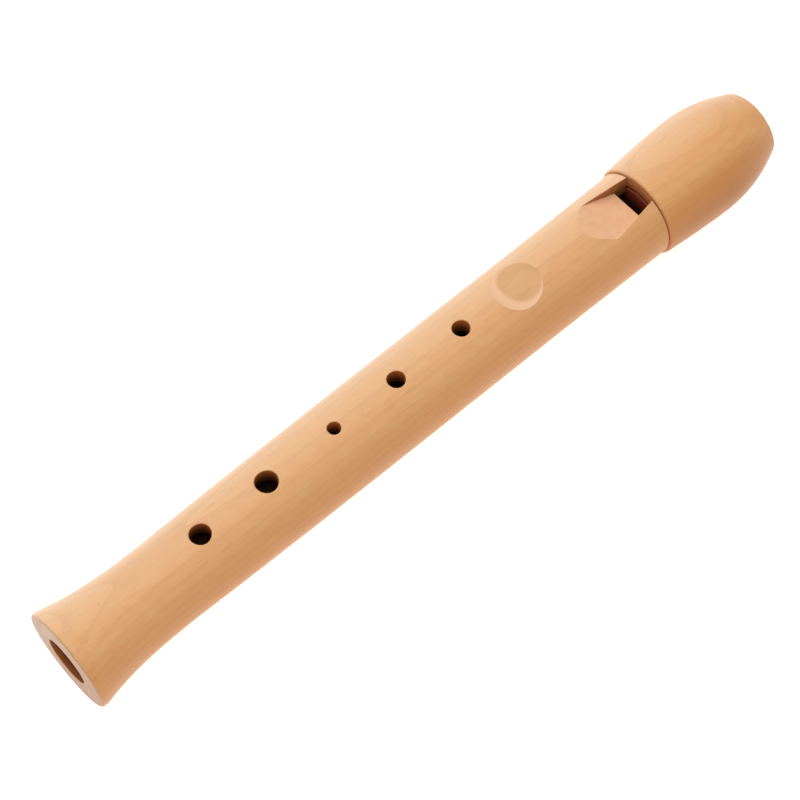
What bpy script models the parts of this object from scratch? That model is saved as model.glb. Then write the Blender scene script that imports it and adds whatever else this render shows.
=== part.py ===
"""A small wooden recorder with five finger holes, lying on its back with the holes up.

Units are metres. +X runs along the bore from the foot to the mouthpiece and +Z is up, through
the finger holes. The origin lies on the surface under the middle of the instrument's length.
Places along the instrument are distances from the face of the foot, and heights inside it are
measured from the bore's axis.
"""
import math

import bmesh
import bpy

# The body, a single turned piece of maple
BODY_LENGTH = 0.2531            # foot face to the shoulder under the mouthpiece's edge
BORE_DIAMETER = 0.0176
BELL_DIAMETER = 0.0371
BELL_CHAMFER = 0.0006
BELL_RIM_LENGTH = 0.0025
FLARE_LENGTH = 0.0395           # from the rim of the bell to the waist
FLARE_POWER = 2.9
WAIST_DIAMETER = 0.0301
LOWER_BARREL_DIAMETER = 0.03165
LOWER_BARREL_FROM_FOOT = 0.1000
UPPER_BARREL_DIAMETER = 0.0323
UPPER_BARREL_FROM_FOOT = 0.1750
SHOULDER_DIAMETER = 0.0335
SHOULDER_ROUNDING = 0.0004
SHOULDER_STEP = 0.00225         # from the body's outside down to the tenon
TENON_LENGTH = 0.0300
TENON_CHAMFER = 0.0008

# Finger holes, from the foot towards the head: distance from the foot and diameter
FINGER_HOLES = (
    (0.0563, 0.0074),
    (0.0840, 0.0080),
    (0.1129, 0.0047),
    (0.1401, 0.0064),
    (0.1692, 0.0063),
)
THUMB_HOLE_FROM_FOOT = 0.1835
THUMB_HOLE_DIAMETER = 0.0058

# The shallow hollow where the index finger rests
HOLLOW_FROM_FOOT = 0.1945
HOLLOW_DIAMETER = 0.0186
HOLLOW_DEPTH = 0.0013

# The window, its ramp and the windway
WINDOW_LENGTH = 0.0048          # labium edge to the shoulder
WINDOW_WIDTH = 0.0127           # at the shoulder
WINDOW_FLARE = 0.135            # how far each side wall leans out per unit of length
LABIUM_THICKNESS = 0.0006       # top of the bore to the labium's edge
RAMP_ANGLE = math.radians(17.3)
WINDWAY_WIDTH = 0.0122
WINDWAY_HEIGHT = 0.0016
WINDWAY_STEP = 0.0008           # labium's edge up to the crown of the windway's floor
WINDWAY_ARCH_RADIUS = 0.0140

# The block, a cedar plug that leaves the windway open above it
BLOCK_CLEARANCE = 0.0003
BLOCK_CHAMFER = 0.0005

# The cork ring in its groove on the tenon
CORK_LENGTH = 0.0134
CORK_FROM_SHOULDER = 0.0083
CORK_GROOVE_DEPTH = 0.0010
CORK_THICKNESS = 0.0010
CORK_CLEARANCE = 0.0003         # to the groove's floor and to its ends

# The mouthpiece, an olive-shaped cap over the tenon
MOUTHPIECE_LENGTH = 0.0562
MOUTHPIECE_WALL = 0.00260       # at the edge, outside the socket
MOUTHPIECE_SWELL = 0.0018       # from the edge's radius to the widest
MOUTHPIECE_BELLY = 0.0295       # edge to the widest place
MOUTHPIECE_END_DIAMETER = 0.0266
SWELL_POWER = 1.5
NOSE_POWER = 2.1
EDGE_ROUNDING = 0.0010
END_ROUNDING = 0.0010
JOINT_GAP = 0.0003              # shoulder to the mouthpiece's edge
SOCKET_CLEARANCE = 0.0003       # around the cork
SOCKET_END_GAP = 0.0005
BLOW_SLOT_WIDTH = 0.0136
BLOW_SLOT_HEIGHT = 0.0030
BLOW_SLOT_CROWN = 0.0098        # height of the slot's upper edge in the end face

# Fineness of the facets
SIDES = 64
HOLE_SIDES = 32
CURVE_STEPS = 12
ROUND_STEPS = 4
HOLLOW_RINGS = 6
CUT_MARGIN = 0.0010             # how far a cutter runs past the face that it opens

# Worked out from the sizes above
BORE_RADIUS = BORE_DIAMETER / 2
SHOULDER_RADIUS = SHOULDER_DIAMETER / 2
FLARE_END = BELL_RIM_LENGTH + FLARE_LENGTH
LABIUM = BODY_LENGTH - WINDOW_LENGTH
LABIUM_HEIGHT = BORE_RADIUS + LABIUM_THICKNESS
WINDWAY_FLOOR = LABIUM_HEIGHT + WINDWAY_STEP
WINDWAY_ROOF = WINDWAY_FLOOR + WINDWAY_HEIGHT
CUTTER_TOP = SHOULDER_RADIUS + CUT_MARGIN
CUTTER_BOTTOM = BORE_RADIUS / 2
TENON_RADIUS = SHOULDER_RADIUS - SHOULDER_STEP
TENON_END = BODY_LENGTH + TENON_LENGTH
CORK_START = BODY_LENGTH + CORK_FROM_SHOULDER
CORK_END = CORK_START + CORK_LENGTH
GROOVE_RADIUS = TENON_RADIUS - CORK_GROOVE_DEPTH
CORK_INNER_RADIUS = GROOVE_RADIUS + CORK_CLEARANCE
CORK_OUTER_RADIUS = CORK_INNER_RADIUS + CORK_THICKNESS
SOCKET_RADIUS = max(TENON_RADIUS, CORK_OUTER_RADIUS) + SOCKET_CLEARANCE
SOCKET_DEPTH = TENON_LENGTH - JOINT_GAP + SOCKET_END_GAP
MOUTHPIECE_START = BODY_LENGTH + JOINT_GAP
MOUTHPIECE_EDGE_RADIUS = SOCKET_RADIUS + MOUTHPIECE_WALL
MOUTHPIECE_RADIUS = MOUTHPIECE_EDGE_RADIUS + MOUTHPIECE_SWELL
NOSE_LENGTH = MOUTHPIECE_LENGTH - MOUTHPIECE_BELLY
TOTAL_LENGTH = MOUTHPIECE_START + MOUTHPIECE_LENGTH
AXIS_HEIGHT = max(BELL_DIAMETER / 2, MOUTHPIECE_RADIUS) * math.cos(math.pi / SIDES)


def body_radius(distance):
    """Outer radius of the body: the bell's rim, its flare to the waist, then the long barrel."""
    if distance <= BELL_RIM_LENGTH:
        return BELL_DIAMETER / 2
    if distance < FLARE_END:
        left = (FLARE_END - distance) / FLARE_LENGTH
        return (WAIST_DIAMETER + (BELL_DIAMETER - WAIST_DIAMETER) * left ** FLARE_POWER) / 2
    # the barrel is a cubic through four turned sizes
    turned = (
        (FLARE_END, WAIST_DIAMETER),
        (LOWER_BARREL_FROM_FOOT, LOWER_BARREL_DIAMETER),
        (UPPER_BARREL_FROM_FOOT, UPPER_BARREL_DIAMETER),
        (BODY_LENGTH, SHOULDER_DIAMETER),
    )
    diameter = 0.0
    for place, size in turned:
        weight = 1.0
        for other, _ in turned:
            if other != place:
                weight *= (distance - other) / (place - other)
        diameter += weight * size
    return diameter / 2


def mouthpiece_radius(from_edge):
    """Outer radius of the mouthpiece: a swell from its edge to the belly, then the nose."""
    if from_edge < MOUTHPIECE_BELLY:
        left = 1 - from_edge / MOUTHPIECE_BELLY
        return MOUTHPIECE_RADIUS - MOUTHPIECE_SWELL * left ** SWELL_POWER
    past = (from_edge - MOUTHPIECE_BELLY) / NOSE_LENGTH
    drop = MOUTHPIECE_RADIUS - MOUTHPIECE_END_DIAMETER / 2
    return MOUTHPIECE_RADIUS - drop * past ** NOSE_POWER


def material(name, colour, roughness):
    finish = bpy.data.materials.new(name)
    finish.use_nodes = True
    shader = finish.node_tree.nodes["Principled BSDF"]
    shader.inputs["Base Color"].default_value = (*colour, 1.0)
    shader.inputs["Roughness"].default_value = roughness
    shader.inputs["Metallic"].default_value = 0.0
    finish.diffuse_color = (*colour, 1.0)
    return finish


def loft(name, sections, closed=False, origin=0.0, finish=None):
    """Skin a row of sections of (distance, y, height), each with as many points as the next.

    The two ends are capped, or joined to each other if the row is closed. The object's own
    origin is on the bore's axis, at the given distance from the foot.
    """
    shape = bmesh.new()
    rings = []
    for section in sections:
        rings.append([shape.verts.new((x - origin, y, height)) for x, y, height in section])
    pairs = list(zip(rings, rings[1:]))
    if closed:
        pairs.append((rings[-1], rings[0]))
    for first, second in pairs:
        for i in range(len(first)):
            j = (i + 1) % len(first)
            shape.faces.new((first[i], first[j], second[j], second[i]))
    if not closed:
        shape.faces.new(rings[0])
        shape.faces.new(rings[-1])
    bmesh.ops.recalc_face_normals(shape, faces=shape.faces)
    mesh = bpy.data.meshes.new(name)
    shape.to_mesh(mesh)
    shape.free()
    mesh.shade_smooth()
    mesh.set_sharp_from_angle(angle=math.radians(30))
    if finish:
        mesh.materials.append(finish)
    piece = bpy.data.objects.new(name, mesh)
    bpy.context.collection.objects.link(piece)
    piece.parent = bore_axis
    piece.location.x = origin
    return piece


def circle(distance, radius):
    """A ring about the bore's axis with one facet level at the bottom."""
    ring = []
    for i in range(SIDES):
        angle = 2 * math.pi * (i + 0.5) / SIDES
        ring.append((distance, radius * math.sin(angle), radius * math.cos(angle)))
    return ring


def round_corner(distance, radius, rounding, start, end):
    """Outline points (distance, radius) along an arc about a centre, angles in degrees."""
    points = []
    for i in range(ROUND_STEPS + 1):
        angle = math.radians(start + (end - start) * i / ROUND_STEPS)
        points.append((distance + rounding * math.cos(angle),
                       radius + rounding * math.sin(angle)))
    return points


def cut(target, cutter):
    cutter.hide_render = True
    cutter.display_type = "WIRE"
    boolean = target.modifiers.new(cutter.name, "BOOLEAN")
    boolean.operation = "DIFFERENCE"
    boolean.solver = "EXACT"
    boolean.object = cutter


def drill(name, distance, diameter, side):
    """A drill through one wall of the body: side is 1 for the front and -1 for the back."""
    sections = []
    for height in (0.0, body_radius(distance) + CUT_MARGIN):
        section = []
        for i in range(HOLE_SIDES):
            angle = 2 * math.pi * i / HOLE_SIDES
            section.append((distance + diameter / 2 * math.cos(angle),
                            diameter / 2 * math.sin(angle),
                            side * height))
        sections.append(section)
    return loft(name, sections)


def hollow_cutter():
    """A lens that follows the tube, so that the finger rest is a round, shallow dish."""
    overlap = 1.25
    sections = []
    for ring in range(-1, HOLLOW_RINGS):
        share = overlap * (1 - max(ring, 0) / HOLLOW_RINGS)
        reach = share * HOLLOW_DIAMETER / 2
        section = []
        for i in range(HOLE_SIDES):
            angle = 2 * math.pi * i / HOLE_SIDES
            distance = HOLLOW_FROM_FOOT + reach * math.cos(angle)
            surface = body_radius(distance)
            radius = surface - HOLLOW_DEPTH * (1 - share * share)
            turn = reach * math.sin(angle) / surface
            height = CUTTER_TOP if ring < 0 else radius * math.cos(turn)
            section.append((distance, radius * math.sin(turn), height))
        sections.append(section)
    return loft("hollow_cutter", sections)


def window_cutter():
    """The ramp and the window in one: a side outline, spread between two flaring walls."""
    ramp_length = (CUTTER_TOP - LABIUM_HEIGHT) / math.tan(RAMP_ANGLE)
    outline = [
        (MOUTHPIECE_START, CUTTER_TOP),
        (MOUTHPIECE_START, CUTTER_BOTTOM),
        (LABIUM, CUTTER_BOTTOM),
        (LABIUM, LABIUM_HEIGHT),
        (LABIUM - ramp_length, CUTTER_TOP),
    ]
    walls = []
    for side in (-1, 1):
        wall = []
        for distance, height in outline:
            half_width = WINDOW_WIDTH / 2 + WINDOW_FLARE * (BODY_LENGTH - distance)
            wall.append((distance, side * half_width, height))
        walls.append(wall)
    return loft("window_cutter", walls)


def arch(width, crown):
    """Points (y, height) along an arch of the windway, from its left side to its right."""
    points = []
    for i in range(CURVE_STEPS + 1):
        y = width * (0.5 - i / CURVE_STEPS)
        sag = WINDWAY_ARCH_RADIUS - math.sqrt(WINDWAY_ARCH_RADIUS ** 2 - y * y)
        points.append((y, crown - sag))
    return points


def windway_cutter():
    """The arched channel over the block, from the window to the end of the tenon."""
    half_width = WINDWAY_WIDTH / 2
    outline = arch(WINDWAY_WIDTH, WINDWAY_ROOF)
    outline += [(-half_width, CUTTER_BOTTOM), (half_width, CUTTER_BOTTOM)]
    ends = (MOUTHPIECE_START - CUT_MARGIN, TENON_END + CUT_MARGIN)
    return loft("windway_cutter", [[(x, y, height) for y, height in outline] for x in ends])


def make_body(finish):
    """The turned tube with its bell and tenon, then everything that is drilled and cut."""
    outline = [
        (0.0, BORE_RADIUS),
        (0.0, BELL_DIAMETER / 2 - BELL_CHAMFER),
        (BELL_CHAMFER, BELL_DIAMETER / 2),
    ]
    for i in range(CURVE_STEPS):
        distance = BELL_RIM_LENGTH + FLARE_LENGTH * i / CURVE_STEPS
        outline.append((distance, body_radius(distance)))
    barrel_length = BODY_LENGTH - SHOULDER_ROUNDING - FLARE_END
    for i in range(CURVE_STEPS + 1):
        distance = FLARE_END + barrel_length * i / CURVE_STEPS
        outline.append((distance, body_radius(distance)))
    groove_start = CORK_START - CORK_CLEARANCE
    groove_end = CORK_END + CORK_CLEARANCE
    outline += [
        (BODY_LENGTH, SHOULDER_RADIUS - SHOULDER_ROUNDING),
        (BODY_LENGTH, TENON_RADIUS),
        (groove_start, TENON_RADIUS),
        (groove_start, GROOVE_RADIUS),
        (groove_end, GROOVE_RADIUS),
        (groove_end, TENON_RADIUS),
        (TENON_END - TENON_CHAMFER, TENON_RADIUS),
        (TENON_END, TENON_RADIUS - TENON_CHAMFER),
        (TENON_END, BORE_RADIUS),
    ]
    body = loft("body", [circle(*point) for point in outline], closed=True, finish=finish)
    for number, (distance, diameter) in enumerate(FINGER_HOLES, start=1):
        cut(body, drill(f"finger_drill_{number}", distance, diameter, 1))
    cut(body, drill("thumb_drill", THUMB_HOLE_FROM_FOOT, THUMB_HOLE_DIAMETER, -1))
    cut(body, hollow_cutter())
    cut(body, window_cutter())
    cut(body, windway_cutter())


def make_block(finish):
    """A round plug in the bore with a raised tongue, whose arched top is the windway's floor."""
    radius = BORE_RADIUS - BLOCK_CLEARANCE
    width = WINDWAY_WIDTH - 2 * BLOCK_CLEARANCE
    floor = arch(width, WINDWAY_FLOOR)
    chamfered_floor = arch(width, WINDWAY_FLOOR - BLOCK_CHAMFER)
    tongue_edge = math.asin(width / 2 / radius)
    steps = 2 * CURVE_STEPS
    plug = []
    for i in range(steps + 1):
        angle = tongue_edge + 2 * (math.pi - tongue_edge) * i / steps
        plug.append((-radius * math.sin(angle), radius * math.cos(angle)))
    sections = []
    for distance, top in ((MOUTHPIECE_START, chamfered_floor),
                          (MOUTHPIECE_START + BLOCK_CHAMFER, floor),
                          (TENON_END, floor)):
        sections.append([(distance, y, height) for y, height in top + plug])
    loft("block", sections, finish=finish)


def make_tenon_cork(finish):
    outline = (
        (CORK_START, CORK_INNER_RADIUS),
        (CORK_START, CORK_OUTER_RADIUS),
        (CORK_END, CORK_OUTER_RADIUS),
        (CORK_END, CORK_INNER_RADIUS),
    )
    loft("tenon_cork", [circle(*point) for point in outline], closed=True, finish=finish)


def slot_section(from_edge, width, crown, depth):
    """The blow slot's section, arched above and below like the windway."""
    upper = arch(width, crown)
    lower = [(y, height - depth) for y, height in reversed(upper)]
    return [(MOUTHPIECE_START + from_edge, y, height) for y, height in upper + lower]


def make_mouthpiece(finish):
    """The cap from its socket's floor round the edge and the belly to the end face."""
    edge = MOUTHPIECE_START
    outline = [(edge + SOCKET_DEPTH, SOCKET_RADIUS), (edge, SOCKET_RADIUS)]
    outline += round_corner(edge + EDGE_ROUNDING, mouthpiece_radius(EDGE_ROUNDING) - EDGE_ROUNDING,
                            EDGE_ROUNDING, 180, 90)
    swell_length = MOUTHPIECE_BELLY - EDGE_ROUNDING
    for i in range(1, CURVE_STEPS + 1):
        from_edge = EDGE_ROUNDING + swell_length * i / CURVE_STEPS
        outline.append((edge + from_edge, mouthpiece_radius(from_edge)))
    for i in range(1, CURVE_STEPS + 1):
        from_edge = MOUTHPIECE_BELLY + (NOSE_LENGTH - END_ROUNDING) * i / CURVE_STEPS
        outline.append((edge + from_edge, mouthpiece_radius(from_edge)))
    end_face_radius = mouthpiece_radius(MOUTHPIECE_LENGTH - END_ROUNDING) - END_ROUNDING
    outline += round_corner(TOTAL_LENGTH - END_ROUNDING, end_face_radius, END_ROUNDING, 65, 0)
    mouthpiece = loft("mouthpiece", [circle(*point) for point in outline], origin=edge,
                      finish=finish)
    slot = [
        slot_section(SOCKET_DEPTH - CUT_MARGIN, WINDWAY_WIDTH, WINDWAY_ROOF, WINDWAY_HEIGHT),
        slot_section(MOUTHPIECE_LENGTH + CUT_MARGIN, BLOW_SLOT_WIDTH, BLOW_SLOT_CROWN,
                     BLOW_SLOT_HEIGHT),
    ]
    slot_cutter = loft("slot_cutter", slot, origin=edge)
    cut(mouthpiece, slot_cutter)


for old in list(bpy.data.objects):
    bpy.data.objects.remove(old)
bore_axis = bpy.data.objects.new("bore_axis", None)
bpy.context.collection.objects.link(bore_axis)
bore_axis.location = (-TOTAL_LENGTH / 2, 0.0, AXIS_HEIGHT)
maple = material("maple", (0.76, 0.50, 0.29), 0.45)
cedar = material("cedar", (0.62, 0.34, 0.20), 0.60)
cork = material("cork", (0.60, 0.42, 0.26), 0.85)
make_body(maple)
make_block(cedar)
make_tenon_cork(cork)
make_mouthpiece(maple)
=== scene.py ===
"""A small wooden recorder lying on its back in a white studio, holes up, mouthpiece to the right.

Units are metres. +X runs along the bore from the foot to the mouthpiece, and +Z is up through the
finger holes. Places along the instrument are distances from the face of the foot, and heights
inside it are measured from the bore's axis.
"""
import math

import bmesh
import bpy
import numpy as np
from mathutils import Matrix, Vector


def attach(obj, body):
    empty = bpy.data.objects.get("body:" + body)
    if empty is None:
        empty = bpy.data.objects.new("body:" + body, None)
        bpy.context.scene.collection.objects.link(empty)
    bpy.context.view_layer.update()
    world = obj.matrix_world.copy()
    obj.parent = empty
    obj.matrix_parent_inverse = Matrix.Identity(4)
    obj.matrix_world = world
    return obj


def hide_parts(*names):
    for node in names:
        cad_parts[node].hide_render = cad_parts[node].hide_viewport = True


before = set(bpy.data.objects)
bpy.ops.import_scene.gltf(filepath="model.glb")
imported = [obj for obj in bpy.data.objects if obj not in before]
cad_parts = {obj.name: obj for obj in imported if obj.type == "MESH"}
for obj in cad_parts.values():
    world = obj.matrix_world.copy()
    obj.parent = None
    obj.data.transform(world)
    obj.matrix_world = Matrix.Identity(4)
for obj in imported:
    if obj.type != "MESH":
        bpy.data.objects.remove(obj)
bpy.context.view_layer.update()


# The studio. The recorder lies on a plain white light table, with a wide soft light above it and
# another high behind it towards the mouthpiece, and pale walls all round. The camera looks down
# on its holes from the foot's side.
AXIS_HEIGHT = 0.0194765
TOTAL_LENGTH = 0.3096
CAMERA_AZIMUTH = math.radians(-41.81)
CAMERA_ELEVATION = math.radians(61.88)
CAMERA_DISTANCE = 0.757
FOCAL_LENGTH = 101.19           # millimetres, on a sensor of SENSOR_WIDTH
SENSOR_WIDTH = 36.0
CLIP_START = 0.01
AIM = (0.14152 - TOTAL_LENGTH / 2, -0.00037, AXIS_HEIGHT)
TABLE_SIZE = 6.0
TABLE_DROP = 0.0001             # from the wood down to the table
TABLE_GLOW = 0.8
WALL_LIGHT = 0.15
KEY_POWER = 16.0
KEY_SIZE = 1.6
KEY_PLACE = (0.35, 0.90, 1.40)
FILL_POWER = 19.0
FILL_SIZE = 1.0
FILL_PLACE = (-0.2, -0.1, 1.60)


def facing(place, target):
    """The turn that points an object's own -Z from its place to the target, with its Y up."""
    return (Vector(target) - Vector(place)).to_track_quat("-Z", "Y").to_euler()


camera = bpy.data.objects.new("camera", bpy.data.cameras.new("camera"))
bpy.context.scene.collection.objects.link(camera)
level = CAMERA_DISTANCE * math.cos(CAMERA_ELEVATION)
camera.location = (AIM[0] + level * math.sin(CAMERA_AZIMUTH),
                   AIM[1] - level * math.cos(CAMERA_AZIMUTH),
                   AIM[2] + CAMERA_DISTANCE * math.sin(CAMERA_ELEVATION))
camera.rotation_euler = facing(camera.location, AIM)
camera.data.sensor_width = SENSOR_WIDTH
camera.data.lens = FOCAL_LENGTH
camera.data.clip_start = CLIP_START
bpy.context.scene.camera = camera
bpy.context.scene.view_settings.view_transform = "Standard"

for name, power, size, place in (("key", KEY_POWER, KEY_SIZE, KEY_PLACE),
                                 ("fill", FILL_POWER, FILL_SIZE, FILL_PLACE)):
    softbox = bpy.data.objects.new(name, bpy.data.lights.new(name, "AREA"))
    bpy.context.scene.collection.objects.link(softbox)
    softbox.data.energy = power
    softbox.data.size = size
    softbox.location = place
    softbox.rotation_euler = facing(place, (0.0, 0.0, 0.0))

walls = bpy.data.worlds.new("walls")
walls.use_nodes = True
walls.node_tree.nodes["Background"].inputs["Color"].default_value = (1.0, 1.0, 1.0, 1.0)
walls.node_tree.nodes["Background"].inputs["Strength"].default_value = WALL_LIGHT
bpy.context.scene.world = walls

table_mesh = bpy.data.meshes.new("table")
half = TABLE_SIZE / 2
table_mesh.from_pydata([(-half, -half, -TABLE_DROP), (half, -half, -TABLE_DROP),
                        (half, half, -TABLE_DROP), (-half, half, -TABLE_DROP)],
                       [], [(0, 1, 2, 3)])
table = bpy.data.objects.new("table", table_mesh)
bpy.context.scene.collection.objects.link(table)
table_paint = bpy.data.materials.new("table_paint")
table_paint.use_nodes = True
table_shader = table_paint.node_tree.nodes["Principled BSDF"]
table_shader.inputs["Base Color"].default_value = (0.90, 0.90, 0.90, 1.0)
table_shader.inputs["Roughness"].default_value = 0.9
table_shader.inputs["Specular IOR Level"].default_value = 0.1
table_shader.inputs["Emission Color"].default_value = (1.0, 1.0, 1.0, 1.0)
table_shader.inputs["Emission Strength"].default_value = TABLE_GLOW
table_mesh.materials.append(table_paint)


# The body. One piece of maple, turned outside to the bell, the waist and the long barrel, bored
# through, and left with a tenon at the head end. The holes, the finger hollow, the ramp, the
# window and the windway are cut after turning, and the whole is oiled.
BODY_LENGTH = 0.2531
BORE_RADIUS = 0.0088
BELL_RADIUS = 0.01855
BELL_CHAMFER = 0.0006
BELL_RIM_LENGTH = 0.0025
FLARE_END = 0.0420
FLARE_POWER = 2.9
WAIST_RADIUS = 0.01505
BARREL = ((FLARE_END, WAIST_RADIUS), (0.1000, 0.015825), (0.1750, 0.01615),
          (BODY_LENGTH, 0.01675))
FOOT_EASE = 0.0003              # how far each edge's corner is cut back and rounded
SHOULDER_EASE = 0.0004
TENON_EASE = 0.0001
TENON_RADIUS = 0.0147
TENON_END = 0.2831
TENON_CHAMFER = 0.0008
TENON_CHAMFER_EASE = 0.0002
CORK_START = 0.2614
CORK_END = 0.2748
GROOVE_RADIUS = 0.0135
GROOVE_GAP = 0.0001             # from each end of the cork to the end of its groove
AROUND = 180                    # points round the turned pieces
FLARE_STEPS = 45
BARREL_STEPS = 106
BORE_STEPS = 40
EASE_STEPS = 11
SHORTEST_STEP = 1e-7            # points of an outline that are closer than this are one
WELD = 1e-6                     # and so are points of a mesh
HAIR = 0.00002                  # a distance too small to see
SMOOTH_ANGLE = math.radians(14)
WALL_LEAN = 0.5                 # an upright face's normal points less than this up or down
RIM_EXIT = math.radians(10)     # how much steeper than the wood a cutter's side leaves it
RIM_RUN = 0.0015                # and how far it carries on


def body_radius(distance):
    """The bell's rim, a power curve down to the waist, and a cubic through four turned sizes."""
    distance = np.asarray(distance, float)
    left = np.clip((FLARE_END - distance) / (FLARE_END - BELL_RIM_LENGTH), 0.0, 1.0)
    flare = WAIST_RADIUS + (BELL_RADIUS - WAIST_RADIUS) * left ** FLARE_POWER
    places, sizes = np.array(BARREL).T
    weights = [np.prod([(distance - other) / (place - other)
                        for other in places if other != place], axis=0) for place in places]
    barrel = sum(weight * size for weight, size in zip(weights, sizes))
    return np.where(distance < FLARE_END, flare, barrel)


def eased(outline, ease):
    """Rounds the corners of a closed outline: each is cut back by its ease along both sides and
    bridged by a parabola that is tangent to them."""
    outline, ease = np.asarray(outline, float), np.asarray(ease, float)[:, None]
    before, after = np.roll(outline, 1, axis=0) - outline, np.roll(outline, -1, axis=0) - outline
    before /= np.linalg.norm(before, axis=1, keepdims=True)
    after /= np.linalg.norm(after, axis=1, keepdims=True)
    share = np.linspace(0.0, 1.0, EASE_STEPS)[None, :, None]
    start, corner, end = [line[:, None] for line in
                          (outline + before * ease, outline, outline + after * ease)]
    line = ((1 - share) ** 2 * start + 2 * share * (1 - share) * corner + share ** 2 * end)
    line = line.reshape(-1, 2)
    steps = np.linalg.norm(line - np.roll(line, 1, axis=0), axis=1)
    return line[steps > SHORTEST_STEP]


def turned(outline):
    """A grid of points: each place and radius of the outline, carried round the bore's axis."""
    distance, radius = np.asarray(outline, float).T
    turn = np.arange(AROUND) / AROUND * 2 * np.pi
    return np.stack([np.repeat(distance[:, None], AROUND, axis=1),
                     radius[:, None] * np.sin(turn), radius[:, None] * np.cos(turn)], axis=-1)


def skin(name, grid, finish, ring=False):
    """A closed mesh over a grid of points (distance, across, height). The last column joins the
    first. The last row joins the first in a ring, and otherwise each end row is one face."""
    rows, columns, _ = grid.shape
    row, column = np.meshgrid(np.arange(rows if ring else rows - 1), np.arange(columns),
                              indexing="ij")
    next_row, next_column = (row + 1) % rows, (column + 1) % columns
    faces = np.stack([row * columns + column, row * columns + next_column,
                      next_row * columns + next_column, next_row * columns + column],
                     axis=-1).reshape(-1, 4).tolist()
    if not ring:
        faces += [list(range(columns)), list(range((rows - 1) * columns, rows * columns))]
    points = grid.reshape(-1, 3) + (-TOTAL_LENGTH / 2, 0.0, AXIS_HEIGHT)
    mesh = bpy.data.meshes.new(name)
    mesh.from_pydata(points.tolist(), [], faces)
    shape = bmesh.new()
    shape.from_mesh(mesh)
    bmesh.ops.remove_doubles(shape, verts=shape.verts, dist=WELD)
    bmesh.ops.recalc_face_normals(shape, faces=shape.faces)
    shape.to_mesh(mesh)
    shape.free()
    mesh.materials.append(finish)
    piece = bpy.data.objects.new(name, mesh)
    bpy.context.scene.collection.objects.link(piece)
    return piece


def carve(piece, *cutters):
    """Takes the cutters out of the piece. The cut faces get the finish of their cutter."""
    for cutter in cutters:
        cut = piece.modifiers.new(cutter.name, "BOOLEAN")
        cut.operation = "DIFFERENCE"
        cut.solver = "EXACT"
        cut.material_mode = "TRANSFER"
        cut.object = cutter
    bpy.context.view_layer.update()
    carved = piece.evaluated_get(bpy.context.evaluated_depsgraph_get())
    carved = bpy.data.meshes.new_from_object(carved)
    piece.modifiers.clear()
    piece.data = carved
    for cutter in cutters:
        bpy.data.objects.remove(cutter)


def line_bore(piece, finish):
    """Gives the faces that lie within a hair of the bore's radius the finish."""
    piece.data.materials.append(finish)
    middles = np.empty(3 * len(piece.data.polygons))
    piece.data.polygons.foreach_get("center", middles)
    across, height = middles.reshape(-1, 3).T[1:]
    slots = np.empty(len(piece.data.polygons), dtype=np.int32)
    piece.data.polygons.foreach_get("material_index", slots)
    inside = np.hypot(across, height - AXIS_HEIGHT) < BORE_RADIUS + HAIR
    slots[inside & (slots == 0)] = len(piece.data.materials) - 1
    piece.data.polygons.foreach_set("material_index", slots)


def face_walls(cutter, finish):
    """Gives the upright faces of a cutter the finish. Its floor and its eased rim keep theirs."""
    cutter.data.materials.append(finish)
    facing_out = np.empty(3 * len(cutter.data.polygons))
    cutter.data.polygons.foreach_get("normal", facing_out)
    upright = np.abs(facing_out[2::3]) < WALL_LEAN
    cutter.data.polygons.foreach_set("material_index", upright.astype(np.int32))


def smooth(piece):
    """Smooth shading, with each real edge kept crisp."""
    piece.data.shade_smooth()
    piece.data.set_sharp_from_angle(angle=SMOOTH_ANGLE)


def rim(reach, tilt, surface, ease):
    """The side of a cut as offsets from its middle and heights, from its wall to above the wood.

    A circle of radius ease touches the wall, at the offset reach, and the wood, which falls away
    at the angle tilt. The last point carries on a little steeper than the wood's surface, so that
    the cut leaves the wood there.
    """
    turn = np.linspace(0.0, 1.0, EASE_STEPS) * (np.pi / 2 + tilt - RIM_EXIT)[:, None]
    contact = reach + ease * (1 + np.sin(tilt))
    middle = surface(contact) - ease * np.cos(tilt)
    offset = (reach + ease)[:, None] - ease[:, None] * np.cos(turn)
    height = middle[:, None] + ease[:, None] * np.sin(turn)
    offset = np.concatenate([offset, offset[:, -1:] + RIM_RUN * np.sin(turn[:, -1:])], axis=1)
    height = np.concatenate([height, height[:, -1:] + RIM_RUN * np.cos(turn[:, -1:])], axis=1)
    return offset, height


PLANK_HEART = (-0.021, -0.034)  # across and up: the heart lies beside and below the instrument
RING_STRETCH = 0.12             # the rings change this much less along the bore than across
WAVE_PERIOD = math.pi / 10      # between the wave texture's rings at a scale of 1
# Painted light across the instrument: the tone turns paler towards +Y, a painted sheen on the side
# towards the lights, and darker towards -Y, painted shade on the side away from them.
SHEEN_ACROSS = (-0.004, 0.011)       # places across, from the plain wood to the full tone
SHADE_ACROSS = (-0.009, -0.015)
FULL_END_TILT = 0.92            # the end grain's tone is full from this tilt on


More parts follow.
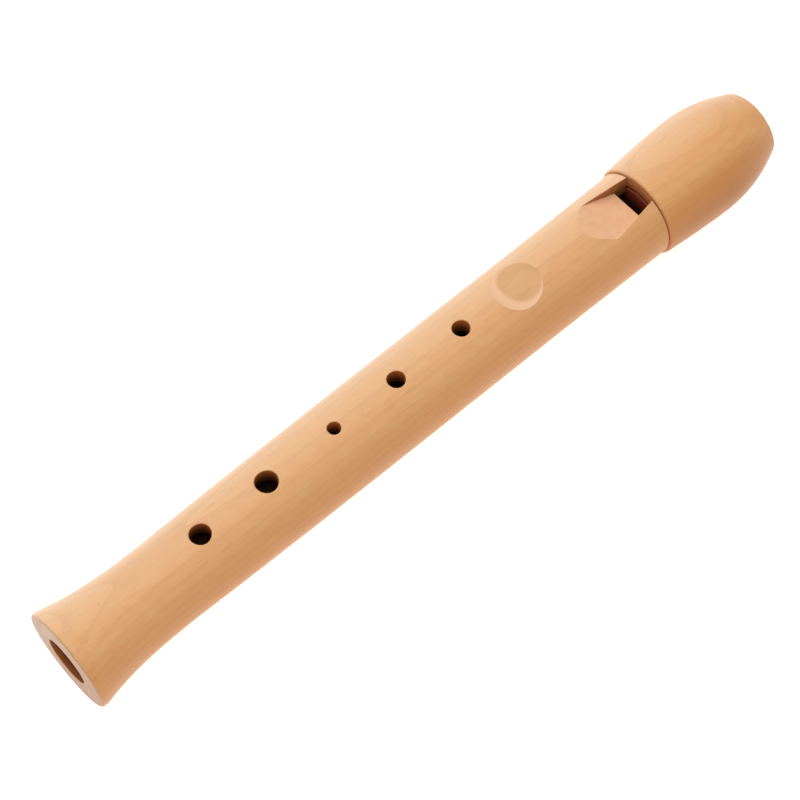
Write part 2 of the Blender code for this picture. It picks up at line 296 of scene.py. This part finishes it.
def grain(name, pale, warm, line, end, roughness, ring_spacing=0.0026, ring_depth=0.12,
          painted_sheen=None, painted_shade=None, end_tilt=0.62, turn_to=None):
    """Wood that was cut from a plank whose heart ran beside the instrument.

    The tone drifts and clouds between pale and warm. Given the two side tones, it turns paler
    towards +Y as a painted sheen and darker towards -Y as painted shade. Growth rings about the
    plank's heart, long streaks, short flecks and fine pores darken it towards line. End grain,
    where the surface is tilted along the bore by more than end_tilt, is mixed with end. Where
    turn_to is given, the tone turns to its colour as the distance from its middle, scaled by its
    reach, goes from near to far; the callers use it for painted shade and a painted highlight.
    """
    made = bpy.data.materials.new(name)
    made.use_nodes = True
    tree = made.node_tree
    shader = tree.nodes["Principled BSDF"]
    shader.inputs["Specular IOR Level"].default_value = 0.15

    def node(kind, **values):
        """A new node, with each named socket set to its value or linked to it."""
        new = tree.nodes.new("ShaderNode" + kind)
        for socket, value in values.items():
            socket = new.inputs[socket.replace("_", " ")]
            if isinstance(value, bpy.types.NodeSocket):
                tree.links.new(value, socket)
            else:
                socket.default_value = value
        return new

    def stretched(along, across, detail):
        """Noise whose marks are 1/along metres long and 1/across metres wide."""
        place = node("Mapping", Vector=where, Scale=(along, across, across))
        return node("TexNoise", Vector=place.outputs["Vector"], Scale=1.0,
                    Detail=detail).outputs["Fac"]

    def between(value, low, high, top=1.0):
        """0 where the value is low, rising to top where it is high."""
        scaled = node("MapRange", Value=value, From_Min=low, From_Max=high, To_Min=0.0,
                      To_Max=top)
        return scaled.outputs["Result"]

    def mixed(share, first, second):
        """The first colour with a share of the second in it."""
        new = tree.nodes.new("ShaderNodeMix")
        new.data_type = "RGBA"
        for socket, value in ((new.inputs[0], share), (new.inputs[6], first),
                              (new.inputs[7], second)):
            if isinstance(value, bpy.types.NodeSocket):
                tree.links.new(value, socket)
            elif isinstance(value, tuple):
                socket.default_value = (*value, 1.0)
            else:
                socket.default_value = value
        return new.outputs[2]

    texture = tree.nodes.new("ShaderNodeTexCoord")
    where = texture.outputs["Object"]
    heart = node("Mapping", Vector=where, Location=(0.0, -PLANK_HEART[0], -PLANK_HEART[1]),
                 Scale=(RING_STRETCH, 1.0, 1.0))
    rings = tree.nodes.new("ShaderNodeTexWave")
    rings.wave_type = "RINGS"
    rings.rings_direction = "X"
    rings.wave_profile = "SAW"
    tree.links.new(heart.outputs["Vector"], rings.inputs["Vector"])
    rings.inputs["Scale"].default_value = WAVE_PERIOD / ring_spacing
    rings.inputs["Distortion"].default_value = 2.5
    rings.inputs["Detail"].default_value = 2.0
    rings.inputs["Detail Scale"].default_value = 0.35

    drift = between(stretched(18.0, 75.0, 2.0), 0.35, 0.65, 0.5)
    clouds = between(stretched(210.0, 400.0, 2.0), 0.38, 0.62, 0.75)
    late_wood = between(rings.outputs["Fac"], 0.60, 1.0, ring_depth)
    streaks = between(stretched(55.0, 650.0, 3.0), 0.54, 0.74, 0.075)
    flecks = between(stretched(150.0, 1500.0, 2.0), 0.60, 0.72, 0.16)
    pores = between(stretched(300.0, 4200.0, 1.0), 0.60, 0.72, 0.10)
    colour = mixed(drift, pale, warm)
    colour = mixed(clouds, colour, warm)
    # Painted light: paler towards +Y as a painted sheen, darker towards -Y as painted shade.
    if painted_sheen:
        across = node("SeparateXYZ", Vector=where).outputs["Y"]
        colour = mixed(between(across, *SHEEN_ACROSS), colour, painted_sheen)
        colour = mixed(between(across, *SHADE_ACROSS, 0.8), colour, painted_shade)
    colour = mixed(late_wood, colour, line)
    colour = mixed(streaks, colour, line)
    colour = mixed(flecks, colour, line)
    colour = mixed(pores, colour, line)
    facing_x = node("SeparateXYZ", Vector=texture.outputs["Normal"]).outputs["X"]
    along = tree.nodes.new("ShaderNodeMath")
    along.operation = "ABSOLUTE"
    tree.links.new(facing_x, along.inputs[0])
    colour = mixed(between(along.outputs[0], end_tilt, FULL_END_TILT, 0.8), colour, end)
    if turn_to:
        middle, reach, near, far, tone = turn_to
        offset = tuple(-size * place for size, place in zip(reach, middle))
        from_middle = node("Mapping", Vector=where, Location=offset, Scale=reach)
        away = tree.nodes.new("ShaderNodeVectorMath")
        away.operation = "LENGTH"
        tree.links.new(from_middle.outputs["Vector"], away.inputs[0])
        colour = mixed(between(away.outputs["Value"], near, far, 0.9), colour, tone)
    tree.links.new(colour, shader.inputs["Base Color"])

    polish = node("MapRange", Value=stretched(60.0, 400.0, 2.0), From_Min=0.3, From_Max=0.7,
                  To_Min=roughness - 0.05, To_Max=roughness + 0.06)
    tree.links.new(polish.outputs["Result"], shader.inputs["Roughness"])
    relief = node("Bump", Height=stretched(170.0, 3600.0, 1.0), Strength=0.25, Distance=0.00005)
    tree.links.new(relief.outputs["Normal"], shader.inputs["Normal"])
    return made


# The outside is oiled, with a painted sheen on its +Y side and painted shade on its -Y side.
# The faces cut with a knife are paler, and the walls of the holes and of the bore darken with
# depth as painted shade.
maple = grain("maple", pale=(0.67, 0.374, 0.166), warm=(0.66, 0.332, 0.148),
              line=(0.40, 0.17, 0.065), end=(0.39, 0.205, 0.108), roughness=0.42,
              painted_sheen=(0.72, 0.46, 0.275), painted_shade=(0.60, 0.262, 0.090))
cut_maple = grain("cut_maple", pale=(0.74, 0.44, 0.245), warm=(0.71, 0.385, 0.215),
                  line=(0.46, 0.22, 0.095), end=(0.60, 0.25, 0.080), roughness=0.55,
                  ring_depth=0.03)
# The holes' walls: a bright orange wood that darkens to near black with depth towards the bore,
# painted shade.
hole_shade_maple = grain("hole_shade_maple", pale=(0.84, 0.290, 0.066), warm=(0.80, 0.260, 0.055),
                      line=(0.45, 0.12, 0.030), end=(0.80, 0.265, 0.058), roughness=0.6,
                      turn_to=((0.0, 0.0, AXIS_HEIGHT), (0.0, 1.0, 1.0), 0.0160, 0.0104,
                               (0.045, 0.008, 0.002)))
# The bore: a dark copy of the wood that turns near black a few millimetres in from the foot's face,
# painted shade where little light reaches.
bore_shade_maple = grain("bore_shade_maple", pale=(0.46, 0.14, 0.034), warm=(0.40, 0.115, 0.027),
                    line=(0.22, 0.07, 0.018), end=(0.12, 0.050, 0.020), roughness=0.6,
                    turn_to=((-TOTAL_LENGTH / 2, 0.0, 0.0), (1.0, 0.0, 0.0), 0.0, 0.0065,
                             (0.050, 0.020, 0.009)))

flare_places = np.linspace(BELL_RIM_LENGTH, FLARE_END, FLARE_STEPS)
barrel_places = np.linspace(FLARE_END, BODY_LENGTH, BARREL_STEPS)[1:]
outside = np.concatenate([flare_places, barrel_places])
corners = [
    (0.0, BORE_RADIUS, FOOT_EASE),
    (0.0, BELL_RADIUS - BELL_CHAMFER, FOOT_EASE),
    (BELL_CHAMFER, BELL_RADIUS, FOOT_EASE),
    *zip(outside, body_radius(outside), np.where(outside < BODY_LENGTH, 0.0, SHOULDER_EASE)),
    (BODY_LENGTH, TENON_RADIUS, TENON_EASE),
    (CORK_START - GROOVE_GAP, TENON_RADIUS, TENON_EASE),
    (CORK_START - GROOVE_GAP, GROOVE_RADIUS, 0.0),
    (CORK_END + GROOVE_GAP, GROOVE_RADIUS, 0.0),
    (CORK_END + GROOVE_GAP, TENON_RADIUS, TENON_EASE),
    (TENON_END - TENON_CHAMFER, TENON_RADIUS, TENON_CHAMFER_EASE),
    (TENON_END, TENON_RADIUS - TENON_CHAMFER, TENON_CHAMFER_EASE),
    (TENON_END, BORE_RADIUS, FOOT_EASE),
    *[(place, BORE_RADIUS, 0.0) for place in np.linspace(TENON_END, 0.0, BORE_STEPS)[1:-1]],
]
places, radii, eases = np.array(corners).T
body = skin("body_wood", turned(eased(np.stack([places, radii], axis=-1), eases)), maple,
            ring=True)

# The finger holes and the thumb hole are drilled square to the bore, and each rim is eased by a
# touch of sandpaper.
FINGER_HOLES = ((0.0563, 0.00370), (0.0840, 0.00400), (0.1129, 0.00235), (0.1401, 0.00320),
                (0.1692, 0.00315))
THUMB_HOLE = (0.1835, 0.00290)
HOLE_EASE = 0.00035
HOLE_POINTS = 96
DRILL_RISE = 0.002              # how far a drill's last step stands above the wood
SLOPE_STEP = 1e-5               # the wood's slope at a rim is taken over this distance


def drill(name, distance, radius, side):
    """A round cut from the axis out: every spoke of it is the rim's side at its own angle."""
    turn = np.arange(HOLE_POINTS) / HOLE_POINTS * 2 * np.pi
    span = np.full_like(turn, radius)

    def surface(reach):
        """Height of the turned wood at an offset from the hole's middle."""
        around = body_radius(distance + reach * np.cos(turn))
        return np.sqrt(around ** 2 - (reach * np.sin(turn)) ** 2)

    tilt = np.arctan((surface(span) - surface(span + SLOPE_STEP)) / SLOPE_STEP)
    offset, height = rim(span, tilt, surface, np.full_like(turn, HOLE_EASE))
    offset = np.concatenate([span[:, None], offset, offset[:, -1:]], axis=1)
    height = np.concatenate([0 * span[:, None], height, height[:, -1:] + DRILL_RISE], axis=1)
    points = np.stack([distance + offset * np.cos(turn)[:, None],
                       offset * np.sin(turn)[:, None], side * height], axis=-1)
    cutter = skin(name, points.transpose(1, 0, 2), maple)
    face_walls(cutter, hole_shade_maple)
    return cutter


drills = [drill(f"drill_{number}", *hole, 1) for number, hole in enumerate(FINGER_HOLES)]
drills.append(drill("drill_thumb", *THUMB_HOLE, -1))

# The finger hollow is a shallow round dish, ground into the barrel as a rest for the index
# finger. Its rim is crisp and its bottom nearly flat, and its wall towards the foot is painted
# pale as a painted highlight.
HOLLOW_PLACE = 0.1945
HOLLOW_RADIUS = 0.0093
HOLLOW_DEPTH = 0.0013
HOLLOW_POWER = 4.0
HOLLOW_RINGS = 40
HOLLOW_POINTS = 128
HOLLOW_OVERLAP = 1.2            # the cutter's reach as a share of the hollow's radius
HOLLOW_CUT_TOP = 0.020
# A painted highlight: the hollow's tone turns pale outside a circle set off from its middle towards
# the mouthpiece, which leaves a pale crescent on its wall towards the foot.
HIGHLIGHT_MIDDLE = (HOLLOW_PLACE - TOTAL_LENGTH / 2 + 0.0024, 0.0009, 0.0)
HIGHLIGHT_RADIUS = 0.0077
HIGHLIGHT_EDGE = (HIGHLIGHT_RADIUS - 0.0006, HIGHLIGHT_RADIUS + 0.0008)

hollow_maple = grain("hollow_maple", pale=(0.62, 0.365, 0.172), warm=(0.62, 0.335, 0.154),
                     line=(0.40, 0.17, 0.065), end=(0.46, 0.22, 0.105), roughness=0.42,
                     turn_to=(HIGHLIGHT_MIDDLE, (1.0, 1.0, 0.0), *HIGHLIGHT_EDGE, (0.76, 0.465, 0.285)))


def dish():
    """A lens on the barrel's surface: its depth is the full depth less a power of the share of
    the way from the middle to the rim, and it is carried on past the rim to leave the wood."""
    share = np.linspace(0.0, HOLLOW_OVERLAP, HOLLOW_RINGS)
    share = np.concatenate([share, [HOLLOW_OVERLAP]])[:, None]
    turn = np.arange(HOLLOW_POINTS) / HOLLOW_POINTS * 2 * np.pi
    place = HOLLOW_PLACE + HOLLOW_RADIUS * share * np.cos(turn)
    radius = body_radius(place) - HOLLOW_DEPTH * (1 - share ** HOLLOW_POWER)
    round_body = HOLLOW_RADIUS * share * np.sin(turn) / body_radius(place)
    height = radius * np.cos(round_body)
    height[-1] = HOLLOW_CUT_TOP
    return skin("hollow_cutter", np.stack([place, radius * np.sin(round_body), height], axis=-1),
                hollow_maple)


# The window is cut down into the bore just under the mouthpiece's edge. Its ramp slopes up from
# the sharp labium to the barrel's surface, between two side walls that spread towards the foot.
LABIUM = 0.2483
LABIUM_HEIGHT = 0.0094
RAMP_SLOPE = math.tan(math.radians(17.3))
WINDOW_HALF_WIDTH = 0.00635
WINDOW_FLARE = 0.135
WINDOW_EASE = 0.00015
WINDOW_CUT_TOP = 0.021
RAMP_CUT_LENGTH = 0.0265        # past the place where the ramp leaves the wood
RAMP_STEPS = 90
GAP_STEPS = 12
MOUTHPIECE_START = 0.2534

# The window's walls: a darker, redder copy of the cut wood that darkens further with depth towards
# the bore, painted shade. The mouthpiece's slot takes it too.
wall_shade_maple = grain("wall_shade_maple", pale=(0.66, 0.31, 0.115), warm=(0.62, 0.27, 0.095),
                   line=(0.40, 0.16, 0.055), end=(0.60, 0.25, 0.080), roughness=0.55,
                   turn_to=((0.0, 0.0, AXIS_HEIGHT), (0.0, 1.0, 1.0), 0.0165, 0.0105,
                            (0.30, 0.105, 0.032)))


def window():
    """Cross-sections along the bore: a floor that is the ramp, or open to the bore beyond the
    labium, and two upright walls with eased upper edges that leave the wood."""
    ramp = np.linspace(LABIUM - RAMP_CUT_LENGTH, LABIUM, RAMP_STEPS)
    gap = np.linspace(LABIUM + HAIR, MOUTHPIECE_START, GAP_STEPS)
    place = np.concatenate([ramp, gap])
    floor = np.where(np.arange(place.size) < ramp.size,
                     LABIUM_HEIGHT + (LABIUM - place) * RAMP_SLOPE, BORE_RADIUS / 2)
    span = WINDOW_HALF_WIDTH + WINDOW_FLARE * (BODY_LENGTH - place)
    around = body_radius(np.minimum(place, BODY_LENGTH))

    def surface(reach):
        """Height of the turned wood at an offset from the middle plane."""
        return np.sqrt(around ** 2 - reach ** 2)

    tilt = np.arcsin(span / around)
    wall = np.maximum(surface(span) - floor, 0.0)
    offset, height = rim(span, tilt, surface, np.minimum(WINDOW_EASE, wall / 3))
    height = np.maximum(height, floor[:, None])
    offset = np.concatenate([span[:, None], offset, offset[:, -1:]], axis=1)
    height = np.concatenate([floor[:, None], height, 0 * height[:, -1:] + WINDOW_CUT_TOP], axis=1)
    offset = np.concatenate([offset, -offset[:, ::-1]], axis=1)
    height = np.concatenate([height, height[:, ::-1]], axis=1)
    along = np.repeat(place[:, None], offset.shape[1], axis=1)
    cutter = skin("window_cutter", np.stack([along, offset, height], axis=-1), cut_maple)
    face_walls(cutter, wall_shade_maple)
    return cutter


# The windway is an arched channel over the block, from the end of the tenon to the window.
WINDWAY_HALF_WIDTH = 0.0061
WINDWAY_FLOOR = 0.0102
WINDWAY_ROOF = 0.0118
WINDWAY_OVERRUN = (0.0005, 0.001)   # of its cutter, into the window and past the tenon
ARCH_RADIUS = 0.0140
ARCH_POINTS = 24


def arch(half_width, crown):
    """An arc of the windway's curve from one side to the other, as across and height."""
    across = np.linspace(half_width, -half_width, ARCH_POINTS)
    return across, crown - ARCH_RADIUS + np.sqrt(ARCH_RADIUS ** 2 - across ** 2)


def windway():
    """The arch and the two upright sides under it, drawn out along the bore."""
    across, height = arch(WINDWAY_HALF_WIDTH, WINDWAY_ROOF)
    across = np.concatenate([across, [-WINDWAY_HALF_WIDTH, WINDWAY_HALF_WIDTH]])
    height = np.concatenate([height, [BORE_RADIUS / 2, BORE_RADIUS / 2]])
    ends = np.array([MOUTHPIECE_START - WINDWAY_OVERRUN[0],
                     TENON_END + WINDWAY_OVERRUN[1]])[:, None]
    # Its faces take the bore's dark finish, painted shade.
    return skin("windway_cutter", np.stack(np.broadcast_arrays(ends, across, height), axis=-1),
                bore_shade_maple)


carve(body, *drills, dish(), window(), windway())
line_bore(body, bore_shade_maple)
smooth(body)
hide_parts("body")
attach(body, "body")


# The block. A cedar plug pushed into the head end of the bore. Its upper side carries a raised
# tongue whose arched top is the windway's floor, and its front edge is chamfered.
BLOCK_FIT = 0.00006             # between the plug and the bore
TONGUE_FIT = 0.00008            # between the tongue and each side of the windway
BLOCK_RADIUS = BORE_RADIUS - BLOCK_FIT
BLOCK_HALF_WIDTH = WINDWAY_HALF_WIDTH - TONGUE_FIT
BLOCK_END = TENON_END - 0.0002
BLOCK_CHAMFER = 0.0005
CHAMFER_STEPS = 8
PLUG_POINTS = 80

# The cedar is kept dark and turns near black away from the windway's floor: painted shade on the
# block's face, which lies deep in the window.
cedar = grain("cedar", pale=(0.30, 0.085, 0.045), warm=(0.24, 0.065, 0.035),
              line=(0.14, 0.03, 0.015), end=(0.34, 0.050, 0.024), roughness=0.62,
              ring_spacing=0.0016,
              turn_to=((0.0, 0.0, AXIS_HEIGHT + WINDWAY_FLOOR), (0.0, 0.0, 1.0), 0.0010, 0.0075,
                       (0.012, 0.004, 0.003)))


def block_section(place, drop):
    """The tongue's arch, lowered by drop, and the round of the plug below its two sides."""
    across, height = arch(BLOCK_HALF_WIDTH, WINDWAY_FLOOR - drop)
    edge = math.asin(BLOCK_HALF_WIDTH / BLOCK_RADIUS)
    turn = np.linspace(edge, 2 * np.pi - edge, PLUG_POINTS)
    across = np.concatenate([across, -BLOCK_RADIUS * np.sin(turn)])
    height = np.concatenate([height, BLOCK_RADIUS * np.cos(turn)])
    return np.stack([np.full_like(across, place), across, height], axis=-1)


chamfer = np.linspace(0.0, np.pi / 2, CHAMFER_STEPS)
front = [block_section(MOUTHPIECE_START + BLOCK_CHAMFER * (1 - math.cos(angle)),
                       BLOCK_CHAMFER * (1 - math.sin(angle))) for angle in chamfer]
block = skin("block_plug", np.stack([*front, block_section(BLOCK_END, 0.0)]), cedar)
smooth(block)
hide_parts("block")
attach(block, "body")


# The cork ring. A strip of cork glued into a groove of the tenon, sanded to a slight swell and
# waxed. It grips the socket of the mouthpiece.
CORK_RADIUS = 0.0148
CORK_SWELL = 0.0004             # from its ends to its middle
CORK_SWELL_POWER = 6
CORK_STEPS = 40


def cork_finish():
    """Cork: irregular pale grains with dark seams, and scattered brown pits."""
    made = bpy.data.materials.new("cork")
    made.use_nodes = True
    tree = made.node_tree
    shader = tree.nodes["Principled BSDF"]
    shader.inputs["Roughness"].default_value = 0.85
    shader.inputs["Specular IOR Level"].default_value = 0.25
    texture = tree.nodes.new("ShaderNodeTexCoord")
    grains = tree.nodes.new("ShaderNodeTexVoronoi")
    grains.inputs["Scale"].default_value = 1400.0
    pits = tree.nodes.new("ShaderNodeTexNoise")
    pits.inputs["Scale"].default_value = 900.0
    pits.inputs["Detail"].default_value = 2.0
    for pattern in (grains, pits):
        tree.links.new(texture.outputs["Object"], pattern.inputs["Vector"])
    tone = tree.nodes.new("ShaderNodeValToRGB")
    tone.color_ramp.elements[0].color = (0.58, 0.33, 0.15, 1.0)
    tone.color_ramp.elements[1].color = (0.40, 0.19, 0.075, 1.0)
    tree.links.new(grains.outputs["Distance"], tone.inputs["Fac"])
    depth = tree.nodes.new("ShaderNodeMapRange")
    depth.inputs["From Min"].default_value = 0.60
    depth.inputs["From Max"].default_value = 0.70
    tree.links.new(pits.outputs["Fac"], depth.inputs["Value"])
    speckled = tree.nodes.new("ShaderNodeMix")
    speckled.data_type = "RGBA"
    speckled.inputs[7].default_value = (0.13, 0.06, 0.03, 1.0)
    tree.links.new(depth.outputs["Result"], speckled.inputs[0])
    tree.links.new(tone.outputs["Color"], speckled.inputs[6])
    tree.links.new(speckled.outputs[2], shader.inputs["Base Color"])
    relief = tree.nodes.new("ShaderNodeBump")
    relief.inputs["Strength"].default_value = 0.5
    relief.inputs["Distance"].default_value = 0.0001
    tree.links.new(grains.outputs["Distance"], relief.inputs["Height"])
    tree.links.new(relief.outputs["Normal"], shader.inputs["Normal"])
    return made


swell = np.linspace(0.0, 1.0, CORK_STEPS)
cork_outline = np.concatenate([
    np.stack([CORK_START + (CORK_END - CORK_START) * swell,
              CORK_RADIUS - CORK_SWELL * np.abs(2 * swell - 1) ** CORK_SWELL_POWER], axis=-1),
    [(CORK_END, GROOVE_RADIUS + HAIR), (CORK_START, GROOVE_RADIUS + HAIR)],
])
cork = skin("cork_ring", turned(cork_outline), cork_finish(), ring=True)
smooth(cork)
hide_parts("tenon_cork")
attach(cork, "body")


# The mouthpiece. A turned maple cap with a socket for the tenon. It swells from a rounded edge to
# the belly and narrows to a blunt nose, cut square with a rounded rim, and an arched slot leads the
# breath from the nose into the windway.
MOUTHPIECE_LENGTH = 0.0562
MOUTHPIECE_RADIUS = 0.0195
EDGE_RADIUS = 0.0177
BELLY = 0.0295
NOSE_RADIUS = 0.0133
SWELL_POWER = 1.5
NOSE_POWER = 2.1
EDGE_ROUNDING = 0.0010
EDGE_ROUNDING_LENGTH = 0.0016
NOSE_ROUNDING = 0.0010
NOSE_RIM_ANGLE = np.radians(65)
ROUND_STEPS = 12
SIDE_STEPS = 80
NOSE_STEPS = 8
SOCKET_RADIUS = 0.01485
SOCKET_DEPTH = 0.0302
SOCKET_LEAD = (0.0005, 0.0003)  # length and depth of the bevel at the socket's mouth
SLOT_HALF_WIDTH = 0.0068
SLOT_HEIGHT = 0.0030
SLOT_CROWN = 0.0098
SLOT_RUN = 0.001                # how far the slot's cutter passes the nose and the socket's floor
SLOT_MOUTH = ((0.004, 0.0), (0.0006, 0.0), (0.0003, 0.00005), (0.0001, 0.00015), (0.0, 0.0003),
              (-SLOT_RUN, 0.0013))  # distance from the nose, and how much wider it is there


def mouthpiece_radius(from_edge):
    """A power curve from the edge up to the belly, and another down to the nose."""
    before = np.clip(1 - from_edge / BELLY, 0.0, 1.0)
    past = np.clip((from_edge - BELLY) / (MOUTHPIECE_LENGTH - BELLY), 0.0, 1.0)
    return (MOUTHPIECE_RADIUS - (MOUTHPIECE_RADIUS - EDGE_RADIUS) * before ** SWELL_POWER
            - (MOUTHPIECE_RADIUS - NOSE_RADIUS) * past ** NOSE_POWER)


# The cap turns darker towards -Y past 16 mm from its middle, painted shade on its side away from
# the lights, on top of the painted sheen and painted shade of the side tones.
cap_maple = grain("cap_maple", pale=(0.67, 0.360, 0.150), warm=(0.66, 0.320, 0.135),
                  line=(0.40, 0.17, 0.065), end=(0.56, 0.225, 0.085), roughness=0.42,
                  painted_sheen=(0.72, 0.45, 0.26), painted_shade=(0.54, 0.215, 0.066), end_tilt=0.36,
                  turn_to=((0.0, 0.020, 0.0), (0.0, 1.0, 0.0), 0.0358, 0.0390,
                           (0.46, 0.183, 0.056)))

edge_turn = np.linspace(np.pi, np.pi / 2, ROUND_STEPS)
edge_round = np.stack([EDGE_ROUNDING_LENGTH * (1 + np.cos(edge_turn)),
                       mouthpiece_radius(EDGE_ROUNDING_LENGTH)
                       - EDGE_ROUNDING * (1 - np.sin(edge_turn))], axis=-1)
side = np.linspace(EDGE_ROUNDING_LENGTH, MOUTHPIECE_LENGTH - NOSE_ROUNDING, SIDE_STEPS)[1:-1]
nose_face = mouthpiece_radius(MOUTHPIECE_LENGTH - NOSE_ROUNDING) - NOSE_ROUNDING
nose_turn = np.linspace(NOSE_RIM_ANGLE, 0.0, ROUND_STEPS)
nose_round = np.stack([MOUTHPIECE_LENGTH - NOSE_ROUNDING * (1 - np.cos(nose_turn)),
                       nose_face + NOSE_ROUNDING * np.sin(nose_turn)], axis=-1)
nose_flat = np.linspace(nose_face, 0.0, NOSE_STEPS)[1:]
socket_wall = np.linspace(SOCKET_DEPTH, SOCKET_LEAD[0], ROUND_STEPS)
cap_outline = np.concatenate([
    [(SOCKET_DEPTH, 0.0)],
    np.stack([socket_wall, np.full_like(socket_wall, SOCKET_RADIUS)], axis=-1),
    [(0.0, SOCKET_RADIUS + SOCKET_LEAD[1])],
    edge_round,
    np.stack([side, mouthpiece_radius(side)], axis=-1),
    nose_round,
    np.stack([np.full_like(nose_flat, MOUTHPIECE_LENGTH), nose_flat], axis=-1),
])
cap = skin("mouthpiece_wood", turned(cap_outline + (MOUTHPIECE_START, 0.0)), cap_maple)


def slot():
    """The arched slot as sections from the socket's floor to the nose, its mouth opened out."""
    from_nose, wider = np.array(SLOT_MOUTH).T
    place = np.concatenate([[SOCKET_DEPTH - SLOT_RUN], MOUTHPIECE_LENGTH - from_nose])[:, None]
    flare = np.concatenate([[0.0], wider])[:, None]
    share = (place - place[0]) / (place[-1] - place[0])
    half_width = WINDWAY_HALF_WIDTH + (SLOT_HALF_WIDTH - WINDWAY_HALF_WIDTH) * share + flare
    crown = WINDWAY_ROOF + (SLOT_CROWN - WINDWAY_ROOF) * share + flare
    depth = (WINDWAY_ROOF - WINDWAY_FLOOR
             + (SLOT_HEIGHT - WINDWAY_ROOF + WINDWAY_FLOOR) * share + 2 * flare)
    across = half_width * np.linspace(1.0, -1.0, ARCH_POINTS)
    upper = crown - ARCH_RADIUS + np.sqrt(ARCH_RADIUS ** 2 - across ** 2)
    across = np.concatenate([across, across[:, ::-1]], axis=1)
    height = np.concatenate([upper, (upper - depth)[:, ::-1]], axis=1)
    along = np.broadcast_to(MOUTHPIECE_START + place, across.shape)
    return skin("slot_cutter", np.stack([along, across, height], axis=-1), wall_shade_maple)


carve(cap, slot())
smooth(cap)
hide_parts("mouthpiece")
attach(cap, "mouthpiece")
